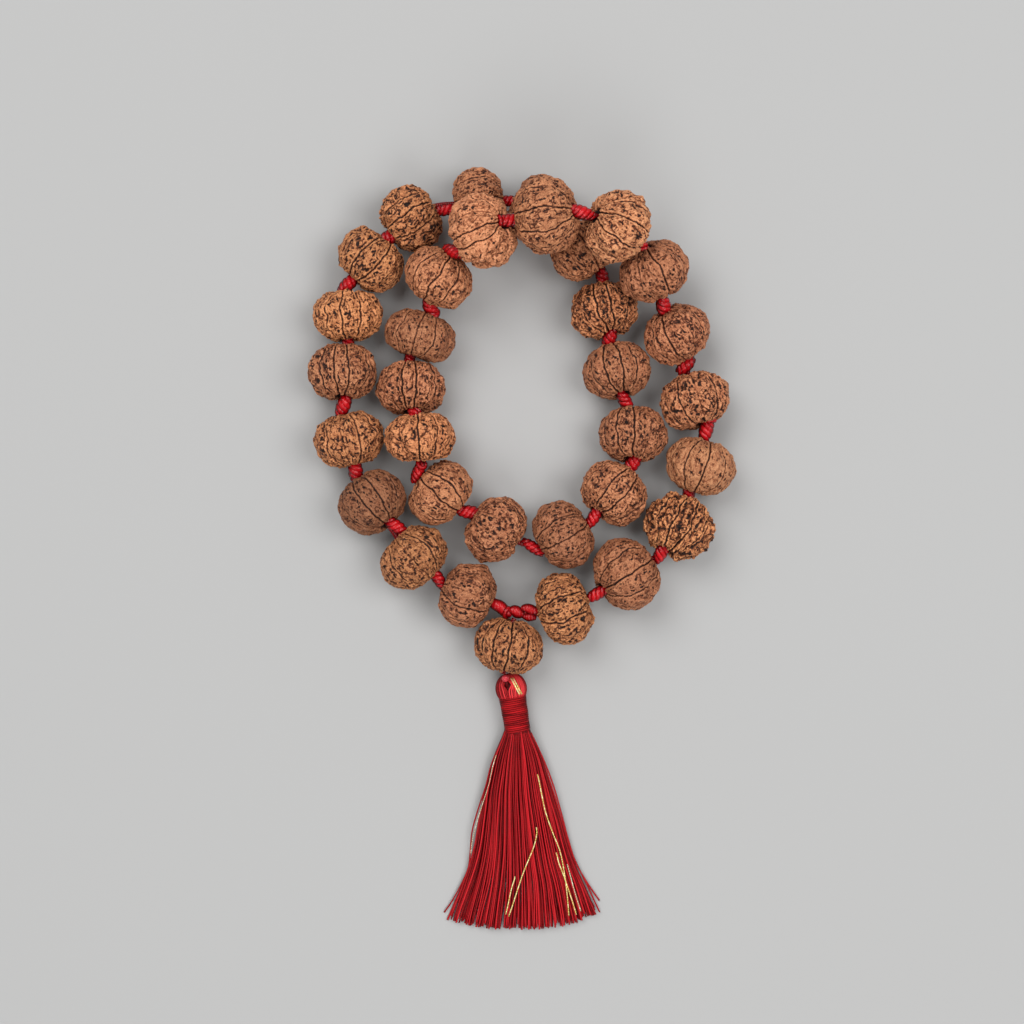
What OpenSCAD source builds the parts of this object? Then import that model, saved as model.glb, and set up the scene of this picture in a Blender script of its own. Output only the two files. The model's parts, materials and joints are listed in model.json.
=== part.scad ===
// Mala: a closed loop of rudraksha seeds on a knotted cord, with a guru seed and a silk tassel.
// It lies on the XY plane in two turns, the second crossing over the first at the far end.
// +Z is up, the tassel points to -Y, and the origin is under the middle of the outline.

/* [Seeds] */
// Diameter of the bore drilled through each seed
bore_d = 2.8; // [2.6:0.1:3]
// Diameter of the hollow around each end of a bore
hollow_d = 10.6; // [10.4:0.1:11]
// Depth of that hollow
hollow_depth = 3.2; // [3.1:0.05:3.3]
// Width of the groove between two faces of a seed
groove_w = 0.5; // [0.3:0.1:0.8]
// Depth of that groove
groove_depth = 0.6; // [0.4:0.1:1]

/* [Cord] */
// Diameter of the stringing cord
cord_d = 1.8; // [1.4:0.1:2]
// Diameter of a spacer knot
knot_d = 4.8; // [4.4:0.1:5]
// Length of a spacer knot as a share of the cord between two bores
knot_share = 0.58; // [0.5:0.02:0.6]

/* [Tassel] */
// Diameter of the folded head
head_d = 10.8; // [10:0.1:11.4]
// Diameter over the binding thread
binding_d = 10; // [9:0.1:10.4]
// Diameter of the binding thread itself
binding_thread_d = 0.52; // [0.4:0.02:0.7]
// Radius of the curve that the thread ends are cut to
skirt_reach = 85; // [80:1:87]
// Diameter of a metallic thread
gold_d = 0.5; // [0.4:0.05:0.8]

/* [Hidden] */
// Each seed is [x, y, width across the faces, length along the bore, height of its underside,
// tilt of its leading end, turn away from the line of its neighbours, number of faces].
SEEDS = [
    [-20, -16, 24.5, 20, 0, 0, 5, 11],
    [-40, -2, 26, 20, 0, 0, -4, 10],
    [-55.5, 18.5, 26, 20.9, 0, -12, 9, 10],
    [-64, 42, 26, 20, 0, 0, 0, 11],
    [-66.5, 67, 26, 20.3, 0, -11, 0, 12],
    [-64.5, 88, 26, 18.5, 0, 0, 15, 11],
    [-56, 108.5, 26, 19.5, 0, 0, -9, 9],
    [-41, 124, 25.5, 20, 0, 0, 4, 10],
    [-16, 130, 26, 19, 0, 0, 0, 10],
    [6, 127.5, 26, 19.5, 0, 0, 0, 10],
    [23.5, 112.5, 26, 19.5, 0, 0, 0, 10],
    [31, 90, 25, 19.7, 0, 14, 0, 12],
    [35.5, 67.5, 25.5, 20.2, 0, 14, 0, 12],
    [41.5, 44, 25.5, 20, 0, 12, 0, 11],
    [34.5, 22, 25.5, 20.9, 0, 11, -6, 10],
    [15.5, 6.5, 26, 20, 0, 0, 12, 9],
    [-9.5, 8.5, 26, 20, 0, 0, -13, 10],
    [-30, 22, 26, 19, 0, 0, 9, 10],
    [-37.5, 42.5, 26, 17.4, 6.5, 0, -13, 10],
    [-41, 61, 25.5, 18.9, 0, -13, 0, 11],
    [-37.5, 80.5, 26.5, 16.9, 1.5, 0, -4, 10],
    [-30.5, 101.5, 26, 19.5, 8, 10, 0, 10],
    [-14, 117, 28, 20.8, 23.5, 32, -6, 12],
    [9, 122, 28, 21.6, 28.5, 18, 5, 10],
    [34.5, 118.5, 27, 21, 24.5, -25, 0, 9],
    [48.5, 103.5, 26, 20, 13, -20, -5, 9],
    [57.5, 81, 25.5, 20, 2, -8, 10, 9],
    [64.5, 56.5, 26, 20, 0, 10, 8, 10],
    [66.65, 32, 26, 20, 0, 0, -11, 10],
    [58.5, 9.5, 26.5, 22.8, 0, 15, 6, 12],
    [39, -8, 27.5, 22.4, 0, 9, -4, 10],
    [16, -21, 27, 19.5, 0, 0, 0, 10]
];
SEED_COUNT = len(SEEDS);
// Gaps where the seeds stand askew and only a slim knot fits, counted from the first seed
SLIM_GAPS = [11, 12, 13, 17, 18, 19, 22, 23, 28, 29];
slim_knot_d = 2.8;
GURU = [-5, -34.7, 26, 20, 0, 0, 0, 12];
// Where both ends of the loop meet
JUNCTION = [-2, -22, 13];
junction_d = 5.4;
// Knot under the guru seed that carries the tassel
TIE = [-7, -46.3, 13];
tie_d = 2.6;
// Gap between pieces that move against each other
running_gap = 0.35;
// Loop of cord that the tassel hangs by
LOOP = [-6.3, -48.3, 9.5];
loop_r = 1.6;
loop_cord_d = 1.1;
// Line through the head and the binding of the tassel
HEAD = [-4.2, -51.2, 5.4];
NECK_END = [-1.5, -68, 5.2];
neck_d = 8.6;
eye_d = 2.6;
binding_start = 3.2;
binding_length = 13.6;
// Fan of free threads, seen from above, and its thickness, seen from the side
FAN_TOP = [-0.5, -58];
FAN_EDGE = [[4.4, -67.6], [6.5, -74], [12, -92], [19, -112], [30, -140], [30, -148]];
FAN_SIDE = [[-67.6, 9.6], [-80, 8], [-110, 5.5], [-150, 3.4]];
GOLD_ROUTES = [
    [[4, -74, 8.8], [6.5, -85, 7.6], [12, -104, 6], [16, -122, 5], [18, -137, 4.3]],
    [[2.5, -78, 8.3], [4.5, -90, 7.1], [5.5, -106, 5.9], [0, -122, 5], [-4.6, -137, 4.3]],
    [[-5, -74, 8.8], [-8, -82, 7.8], [-13.5, -98, 6.5], [-17, -112, 5.5], [-19, -126, 4.8]],
    [[-2, -108, 5.8], [-3.5, -118, 5.2], [-8, -138, 4.3]]
];
cord_sides = 8;
barrel_steps = 8;
barrel_end = 0.5;

SEED_NAMES = [
    "bead_01", "bead_02", "bead_03", "bead_04", "bead_05", "bead_06", "bead_07", "bead_08",
    "bead_09", "bead_10", "bead_11", "bead_12", "bead_13", "bead_14", "bead_15", "bead_16",
    "bead_17", "bead_18", "bead_19", "bead_20", "bead_21", "bead_22", "bead_23", "bead_24",
    "bead_25", "bead_26", "bead_27", "bead_28", "bead_29", "bead_30", "bead_31", "bead_32"
];
$fn = 64;

// Directions and places

function unit(v) = v / norm(v);
function plan(v) = [v[0], v[1]];
function angle_of(v) = atan2(v[1], v[0]);
function seed_before(i) = i == 0 ? JUNCTION : SEEDS[i - 1];
function seed_after(i) = i == SEED_COUNT - 1 ? JUNCTION : SEEDS[i + 1];
function seed_heading(i) = angle_of(plan(seed_after(i)) - plan(seed_before(i))) + SEEDS[i][6];
// A seed rests on the rim of its rounded side, which a tilt brings nearer to its middle.
function rest_height(s) = s[3] / 2 + (s[2] - s[3]) / 2 * cos(s[5]);
function seed_centre(s) = [s[0], s[1], s[4] + rest_height(s)];
function direction(heading, tilt) =
    [cos(heading) * cos(tilt), sin(heading) * cos(tilt), sin(tilt)];
// The cord runs straight through the bore and bends in the hollow, this far from the middle.
function bend_at(s) = s[3] / 2 - hollow_depth + 1;
function cord_in(i) =
    seed_centre(SEEDS[i]) - bend_at(SEEDS[i]) * direction(seed_heading(i), SEEDS[i][5]);
function cord_out(i) =
    seed_centre(SEEDS[i]) + bend_at(SEEDS[i]) * direction(seed_heading(i), SEEDS[i][5]);
guru_heading = angle_of(plan(TIE) - plan(GURU));
guru_top = seed_centre(GURU) - bend_at(GURU) * direction(guru_heading, 0);
guru_foot = seed_centre(GURU) + bend_at(GURU) * direction(guru_heading, 0);
tassel_heading = angle_of(plan(NECK_END) - plan(HEAD));
STRING_ROUTE = [JUNCTION, for (i = [0:SEED_COUNT - 1]) each [cord_in(i), cord_out(i)]];

// Tubes swept along a route, one ring of points at each place

function ring_frame(t) = let(side = unit(cross(t, [0, 0, 1]))) [side, cross(side, t)];
function ring(p, t, d) = [
    for (k = [0:cord_sides - 1])
        let(a = 360 * k / cord_sides, f = ring_frame(t))
            p + d / 2 * (cos(a) * f[0] + sin(a) * f[1])
];
function tube_walls(rings, last) = [
    for (j = [0:last], k = [0:cord_sides - 1])
        let(
            a = j * cord_sides,
            b = ((j + 1) % rings) * cord_sides,
            n = (k + 1) % cord_sides
        ) each [[a + k, b + n, b + k], [a + k, a + n, b + n]]
];

module closed_tube(route, d) {
    n = len(route);
    rings = [
        for (j = [0:n - 1])
            let(
                into = unit(route[j] - route[(j + n - 1) % n]),
                away = unit(route[(j + 1) % n] - route[j])
            ) each ring(route[j], unit(into + away), d)
    ];
    polyhedron(rings, tube_walls(n, n - 1));
}

module open_tube(route, d) {
    n = len(route);
    rings = [
        for (j = [0:n - 1])
            let(
                from = route[max(j - 1, 0)],
                to = route[min(j + 1, n - 1)]
            ) each ring(route[j], unit(to - from), d)
    ];
    near_cap = [for (k = [cord_sides - 1:-1:0]) k];
    far_cap = [for (k = [0:cord_sides - 1]) (n - 1) * cord_sides + k];
    polyhedron(rings, concat(tube_walls(n, n - 2), [near_cap, far_cap]));
}

module along(heading, tilt) {
    rotate([0, 90 - tilt, heading]) children();
}

// Seeds: an oblate stone with a ring of grooves and a bore along its short axis

module seed_section(width, length) {
    intersection() {
        translate([(width - length) / 2, 0]) circle(d = length);
        translate([0, -length / 2]) square([width, length]);
    }
    translate([0, -length / 2]) square([(width - length) / 2, length]);
}

module groove(width, length) {
    rotate_extrude(angle = 2 * asin(groove_w / width))
        difference() {
            translate([2, -length / 2 - 1]) square([width / 2, length + 2]);
            seed_section(width - 2 * groove_depth, length - 2 * groove_depth);
        }
}

module bore_and_hollows(length) {
    cylinder(d = bore_d, h = length + 2, center = true);
    for (end = [0, 1])
        mirror([0, 0, end])
            translate([0, 0, length / 2 - hollow_depth])
                cylinder(d1 = bore_d, d2 = hollow_d, h = hollow_depth + 0.01);
}

module seed(s, heading) {
    color("peru")
        translate(seed_centre(s))
            along(heading, s[5])
                difference() {
                    rotate_extrude() seed_section(s[2], s[3]);
                    for (k = [1:s[7]])
                        rotate([0, 0, 360 * k / s[7] + 5 * sin(97 * k)]) groove(s[2], s[3]);
                    bore_and_hollows(s[3]);
                }
}

// Knots: barrels of wound cord

function barrel_radius(u, d) = d / 2 * (barrel_end + (1 - barrel_end) * sqrt(1 - u * u));

module barrel(from, to, length, d) {
    v = to - from;
    profile = [
        [0, -length / 2],
        for (k = [-barrel_steps:barrel_steps])
            let(u = k / barrel_steps) [barrel_radius(u, d), u * length / 2],
        [0, length / 2]
    ];
    color("firebrick")
        translate((from + to) / 2)
            along(angle_of(v), asin(v[2] / norm(v)))
                rotate_extrude($fn = 40) polygon(profile);
}

module spacer_knots(first, last) {
    for (i = [first:last]) {
        gap = norm(cord_in(i + 1) - cord_out(i));
        d = len(search(i, SLIM_GAPS)) > 0 ? slim_knot_d : knot_d;
        barrel(cord_out(i), cord_in(i + 1), gap * knot_share, d);
    }
}

module start_knot() {
    barrel(JUNCTION, cord_in(0), 7.4, knot_d);
}

module junction_knot() {
    color("firebrick") translate(JUNCTION) sphere(d = junction_d);
}

module end_knot() {
    offset_side = [0, 1.5, 0];
    out = cord_out(SEED_COUNT - 1);
    for (side = [-1, 1])
        barrel(out + side * offset_side, JUNCTION + side * offset_side, 6.2, 2.7);
}

module string() {
    color("firebrick") closed_tube(STRING_ROUTE, cord_d);
}

// Pendant

module guru_cord() {
    down = unit(guru_top - JUNCTION);
    start = JUNCTION + (junction_d / 2 + running_gap) * down;
    finish = TIE - (tie_d / 2 + running_gap) * direction(guru_heading, 0);
    color("firebrick") open_tube([start, guru_top, guru_foot, finish], cord_d);
}

module tie_knot() {
    color("crimson") translate(TIE) sphere(d = tie_d);
}

// Tassel

module tassel_loop() {
    color("crimson")
        translate(LOOP)
            rotate([90, 0, tassel_heading])
                rotate_extrude() translate([loop_r, 0]) circle(d = loop_cord_d);
}

module tassel_head() {
    neck = norm(NECK_END - HEAD);
    color("crimson")
        difference() {
            union() {
                translate(HEAD) sphere(d = head_d);
                translate(HEAD) along(tassel_heading, 0) cylinder(d = neck_d, h = neck);
            }
            translate([HEAD[0], HEAD[1], HEAD[2] + head_d / 2 - 2])
                cylinder(d = eye_d, h = 3);
        }
}

module tassel_binding() {
    turns = floor(binding_length / binding_thread_d);
    color("brown")
        translate(HEAD)
            along(tassel_heading, 0)
                translate([0, 0, binding_start])
                    difference() {
                        rotate_extrude() {
                            square([(binding_d - binding_thread_d) / 2, binding_length]);
                            for (k = [0:turns - 1])
                                translate([
                                    (binding_d - binding_thread_d) / 2,
                                    (k + 0.5) * binding_thread_d
                                ]) circle(d = binding_thread_d, $fn = 16);
                        }
                        translate([0, 0, -binding_start]) sphere(d = head_d + 0.02);
                        translate([0, 0, -1]) cylinder(d = neck_d, h = binding_length + 2);
                    }
}

module skirt_outline() {
    left = [for (p = FAN_EDGE) [FAN_TOP[0] - p[0], p[1]]];
    right = [for (k = [len(FAN_EDGE) - 1:-1:0]) [FAN_TOP[0] + FAN_EDGE[k][0], FAN_EDGE[k][1]]];
    intersection() {
        polygon(concat(left, right));
        translate(FAN_TOP) circle(r = skirt_reach, $fn = 180);
    }
}

module tassel_skirt() {
    depth = 80;
    side = concat(FAN_SIDE, [[-150, 0], [-67.6, 0]]);
    color("crimson")
        intersection() {
            linear_extrude(12) skirt_outline();
            translate([-depth / 2, 0, 0])
                rotate([90, 0, 90]) linear_extrude(depth) polygon(side);
        }
}

module tassel_gold_threads() {
    color("gold")
        for (route = GOLD_ROUTES)
            open_tube(route, gold_d);
}

for (i = [0:SEED_COUNT - 1])
    seed(SEEDS[i], seed_heading(i));
seed(GURU, guru_heading);  // guru_bead
string();
spacer_knots(0, 7);  // knots_outer_left
spacer_knots(8, 15);  // knots_inner_right
spacer_knots(16, 23);  // knots_inner_left
spacer_knots(24, 30);  // knots_outer_right
start_knot();
junction_knot();
end_knot();
guru_cord();
tie_knot();
tassel_loop();
tassel_head();
tassel_binding();
tassel_skirt();
tassel_gold_threads();
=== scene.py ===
import json
import math

import bpy
import numpy as np
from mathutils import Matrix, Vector


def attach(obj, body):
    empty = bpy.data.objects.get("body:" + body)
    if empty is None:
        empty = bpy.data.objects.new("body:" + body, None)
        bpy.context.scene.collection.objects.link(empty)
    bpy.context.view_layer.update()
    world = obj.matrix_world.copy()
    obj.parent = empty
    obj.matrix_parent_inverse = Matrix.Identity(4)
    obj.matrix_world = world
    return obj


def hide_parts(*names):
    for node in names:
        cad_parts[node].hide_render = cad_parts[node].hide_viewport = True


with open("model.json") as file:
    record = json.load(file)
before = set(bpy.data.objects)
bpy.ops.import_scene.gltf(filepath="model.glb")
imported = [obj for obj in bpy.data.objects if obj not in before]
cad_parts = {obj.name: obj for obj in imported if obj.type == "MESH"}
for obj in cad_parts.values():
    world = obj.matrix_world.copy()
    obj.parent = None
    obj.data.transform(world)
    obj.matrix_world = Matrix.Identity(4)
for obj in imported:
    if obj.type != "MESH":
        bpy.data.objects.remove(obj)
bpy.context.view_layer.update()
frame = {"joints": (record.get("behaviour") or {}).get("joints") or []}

MM = 0.001
CORD_R = 0.9
JOINTS = {j["name"]: j for j in frame["joints"]}


# ---------------------------------------------------------------- camera

camera_data = bpy.data.cameras.new("camera")
camera = bpy.data.objects.new("camera", camera_data)
bpy.context.scene.collection.objects.link(camera)
camera.location = (-0.0035, 0.015, 1.0)
camera.rotation_euler = (0, 0, 0)
camera_data.lens = 93.4
camera_data.sensor_width = 36
bpy.context.scene.camera = camera
bpy.context.scene.view_settings.view_transform = "Standard"


# ---------------------------------------------------------------- small helpers

def unit(v):
    v = np.asarray(v, float)
    return v / np.linalg.norm(v)


def smoothstep(a, b, x):
    t = np.clip((x - a) / (b - a), 0, 1)
    return t * t * (3 - 2 * t)


def hashed(ix, iy, iz, seed):
    """A number from 0 to 1 for each lattice point."""
    h = (ix.astype(np.int64) * 374761393 + iy.astype(np.int64) * 668265263
         + iz.astype(np.int64) * 1440662683 + seed * 974634777) & 0xFFFFFFFF
    h = ((h ^ (h >> 13)) * 1274126177) & 0xFFFFFFFF
    h = ((h ^ (h >> 16)) * 2246822519) & 0xFFFFFFFF
    return ((h ^ (h >> 15)) & 0xFFFFFF) / float(0x1000000)


def noise(p, seed):
    """Smooth noise from -1 to 1, one bump per unit of p."""
    i = np.floor(p)
    f = p - i
    w = f * f * f * (f * (f * 6 - 15) + 10)
    total = np.zeros(len(p))
    for dx in (0, 1):
        for dy in (0, 1):
            for dz in (0, 1):
                c = i + (dx, dy, dz)
                k = (np.where(dx, w[:, 0], 1 - w[:, 0]) * np.where(dy, w[:, 1], 1 - w[:, 1])
                     * np.where(dz, w[:, 2], 1 - w[:, 2]))
                a = hashed(c[:, 0], c[:, 1], c[:, 2], seed) * 4096
                b = np.floor(a) / 2048 - 1
                a = (a % 1) * 2 * math.pi
                s = np.sqrt(1 - b * b)
                d = f - (dx, dy, dz)
                total += k * (d[:, 0] * np.cos(a) * s + d[:, 1] * np.sin(a) * s + d[:, 2] * b)
    return total * 1.6


def cells(p, seed):
    """Distance to the nearest and second nearest scattered point, and the nearest one's number."""
    i = np.floor(p)
    first = np.full(len(p), 9.0)
    second = np.full(len(p), 9.0)
    number = np.zeros(len(p))
    for dx in (-1, 0, 1):
        for dy in (-1, 0, 1):
            for dz in (-1, 0, 1):
                c = i + (dx, dy, dz)
                q = [c[:, k] + hashed(c[:, 0], c[:, 1], c[:, 2], seed + 11 * k) for k in range(3)]
                d = np.sqrt((p[:, 0] - q[0]) ** 2 + (p[:, 1] - q[1]) ** 2 + (p[:, 2] - q[2]) ** 2)
                near = d < first
                second = np.where(near, first, np.minimum(second, d))
                number = np.where(near, hashed(c[:, 0], c[:, 1], c[:, 2], seed + 99), number)
                first = np.where(near, d, first)
    return first, second, number


def lines_of(p, seed, sharp):
    """Worm-like lines, 1 along them and 0 away from them."""
    return np.clip(1 - np.abs(noise(p, seed)) * sharp, 0, 1)


def mesh_object(name, points, faces, floats=None, uv=None, vectors=None):
    """points in metres; floats and vectors are named per-point values; uv is one pair each."""
    me = bpy.data.meshes.new(name)
    faces = np.asarray(faces, np.int32)
    me.vertices.add(len(points))
    me.vertices.foreach_set("co", np.asarray(points, np.float32).ravel())
    sides = faces.shape[1]
    me.loops.add(faces.size)
    me.loops.foreach_set("vertex_index", faces.ravel())
    me.polygons.add(len(faces))
    me.polygons.foreach_set("loop_start", np.arange(0, faces.size, sides, dtype=np.int32))
    me.polygons.foreach_set("loop_total", np.full(len(faces), sides, np.int32))
    me.polygons.foreach_set("use_smooth", np.ones(len(faces), bool))
    me.update(calc_edges=True)
    for key, values in (floats or {}).items():
        me.attributes.new(key, "FLOAT", "POINT").data.foreach_set(
            "value", np.asarray(values, np.float32))
    for key, values in (vectors or {}).items():
        me.attributes.new(key, "FLOAT_VECTOR", "POINT").data.foreach_set(
            "vector", np.asarray(values, np.float32).ravel())
    if uv is not None:
        layer = me.uv_layers.new(name="thread")
        layer.data.foreach_set("uv", np.asarray(uv, np.float32)[faces.ravel()].ravel())
    me.validate()
    o = bpy.data.objects.new(name, me)
    bpy.context.scene.collection.objects.link(o)
    return o


def tube_arrays(route, radius, sides=8):
    """A tube with closed ends, swept along a route in mm. radius is a number or one per point."""
    route = np.asarray(route, float)
    n = len(route)
    radius = np.broadcast_to(np.asarray(radius, float), (n,))
    step = np.gradient(route, axis=0)
    t = step / np.linalg.norm(step, axis=1)[:, None]
    side = np.zeros_like(t)
    side[0] = unit(np.cross(t[0], (0, 0, 1.0) if abs(t[0][2]) < 0.9 else (1.0, 0, 0)))
    for k in range(1, n):
        side[k] = unit(side[k - 1] - t[k] * (side[k - 1] @ t[k]))
    top = np.cross(side, t)
    a = np.linspace(0, 2 * math.pi, sides + 1)
    ring = (np.cos(a)[None, :, None] * side[:, None, :]
            + np.sin(a)[None, :, None] * top[:, None, :])
    pts = route[:, None, :] + ring * radius[:, None, None]
    length = np.concatenate([[0], np.cumsum(np.linalg.norm(np.diff(route, axis=0), axis=1))])
    uv = np.zeros((n, sides + 1, 2))
    uv[..., 0] = np.linspace(0, 1, sides + 1)[None]
    uv[..., 1] = length[:, None]
    pts = pts.reshape(-1, 3)
    uv = uv.reshape(-1, 2)
    j, k = np.meshgrid(np.arange(n - 1), np.arange(sides), indexing="ij")
    a0 = j * (sides + 1) + k
    quads = np.stack([a0, a0 + 1, a0 + sides + 2, a0 + sides + 1], -1).reshape(-1, 4)
    caps = []
    for row, flip in ((0, True), (n - 1, False)):
        centre = len(pts)
        pts = np.vstack([pts, route[row]])
        uv = np.vstack([uv, [0.5, length[row]]])
        for q in range(0, sides, 2):
            b = row * (sides + 1)
            ids = [b + q, b + q + 1, b + min(q + 2, sides), centre]
            caps.append(ids[::-1] if flip else ids)
    quads = np.vstack([quads, np.array(caps)])
    return pts, quads, uv


class Parts:
    """Gathers several tubes into one mesh."""

    def __init__(self):
        self.p, self.f, self.u, self.a, self.n = [], [], [], [], 0

    def add(self, pts, faces, uv, tone=0.5):
        self.p.append(pts)
        self.f.append(faces + self.n)
        self.u.append(uv)
        self.a.append(np.full(len(pts), tone) if np.ndim(tone) == 0 else tone)
        self.n += len(pts)

    def tube(self, route, radius, sides=8, tone=0.5, painted_crest_shading=0.0):
        """Painted light and shade: the crest amount lightens the sides that face up and down and
        darkens the flanks between threads.
        """
        pts, faces, uv = tube_arrays(route, radius, sides)
        n = len(route)
        tone = np.broadcast_to(np.asarray(tone, float), (n,))
        tone = np.concatenate([np.repeat(tone, sides + 1), [tone[0], tone[-1]]])
        if painted_crest_shading:
            ring = pts[:n * (sides + 1)].reshape(n, sides + 1, 3)
            up = np.abs(ring[..., 2] - ring[..., 2].mean(1, keepdims=True))
            up = up / np.maximum(up.max(1, keepdims=True), 1e-6)
            tone[:n * (sides + 1)] += (painted_crest_shading * (up - 0.45)).ravel()
        self.add(pts, faces, uv, np.clip(tone, 0, 1))

    def build(self, name):
        pts = np.vstack(self.p) * MM
        pts[:, 2] = np.maximum(pts[:, 2], 0.0)
        o = mesh_object(name, pts, np.vstack(self.f),
                        floats={"tone": np.concatenate(self.a)}, uv=np.vstack(self.u))
        return weld(o)


def weld(o):
    """Joins the two edges of a tube where its seam runs."""
    m = o.modifiers.new("weld", "WELD")
    m.merge_threshold = 1e-6
    return o


def smooth_route(points, per=12, power=0.5):
    """A centripetal Catmull-Rom curve through the points."""
    p = np.asarray(points, float)
    p = np.vstack([2 * p[0] - p[1], p, 2 * p[-1] - p[-2]])
    out = []
    for i in range(1, len(p) - 2):
        q = p[i - 1:i + 3]
        d = np.maximum(np.linalg.norm(np.diff(q, axis=0), axis=1) ** power, 1e-6)
        t0, t1, t2, t3 = 0, d[0], d[0] + d[1], d.sum()
        for t in np.linspace(t1, t2, per, endpoint=False):
            a1 = (t1 - t) / (t1 - t0) * q[0] + (t - t0) / (t1 - t0) * q[1]
            a2 = (t2 - t) / (t2 - t1) * q[1] + (t - t1) / (t2 - t1) * q[2]
            a3 = (t3 - t) / (t3 - t2) * q[2] + (t - t2) / (t3 - t2) * q[3]
            b1 = (t2 - t) / (t2 - t0) * a1 + (t - t0) / (t2 - t0) * a2
            b2 = (t3 - t) / (t3 - t1) * a2 + (t - t1) / (t3 - t1) * a3
            out.append((t2 - t) / (t2 - t1) * b1 + (t - t1) / (t2 - t1) * b2)
    out.append(p[-2])
    return np.array(out)


# ---------------------------------------------------------------- materials

class Nodes:
    """Short calls for building one material."""

    def __init__(self, name):
        self.m = bpy.data.materials.new(name)
        self.m.use_nodes = True
        self.t = self.m.node_tree
        self.bsdf = self.t.nodes["Principled BSDF"]

    def new(self, kind, **settings):
        n = self.t.nodes.new(kind)
        for k, v in settings.items():
            setattr(n, k, v)
        return n

    def link(self, a, b):
        self.t.links.new(a, b)

    def put(self, socket, value):
        if isinstance(value, bpy.types.NodeSocket):
            self.link(value, socket)
        else:
            socket.default_value = value

    def blend(self, a, b, f):
        return tuple(x * f + y * (1 - f) for x, y in zip(a, b))

    def math(self, op, a, b=0.0):
        n = self.new("ShaderNodeMath", operation=op)
        self.put(n.inputs[0], a)
        self.put(n.inputs[1], b)
        return n.outputs[0]

    def mix(self, f, a, b):
        n = self.new("ShaderNodeMix", data_type="RGBA")
        self.put(n.inputs[0], f)
        self.put(n.inputs[6], (*a, 1) if isinstance(a, tuple) else a)
        self.put(n.inputs[7], (*b, 1) if isinstance(b, tuple) else b)
        return n.outputs[2]

    def ramp(self, value, low, high):
        n = self.new("ShaderNodeMapRange", interpolation_type="SMOOTHSTEP")
        self.put(n.inputs[0], value)
        n.inputs[1].default_value = low
        n.inputs[2].default_value = high
        return n.outputs[0]

    def attribute(self, name):
        return self.new("ShaderNodeAttribute", attribute_name=name).outputs["Fac"]

    def place(self):
        return self.new("ShaderNodeTexCoord").outputs["Object"]

    def shift(self, v, by):
        n = self.new("ShaderNodeVectorMath", operation="ADD")
        self.link(v, n.inputs[0])
        n.inputs[1].default_value = by
        return n.outputs[0]

    def noise(self, vector, scale, detail=3.0, rough=0.55):
        n = self.new("ShaderNodeTexNoise")
        self.link(vector, n.inputs["Vector"])
        n.inputs["Scale"].default_value = scale
        n.inputs["Detail"].default_value = detail
        n.inputs["Roughness"].default_value = rough
        return n.outputs["Fac"]

    def bump(self, height, distance, strength=1.0, normal=None):
        n = self.new("ShaderNodeBump")
        n.inputs["Strength"].default_value = strength
        n.inputs["Distance"].default_value = distance
        self.link(height, n.inputs["Height"])
        if normal is not None:
            self.link(normal, n.inputs["Normal"])
        return n.outputs[0]


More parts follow.
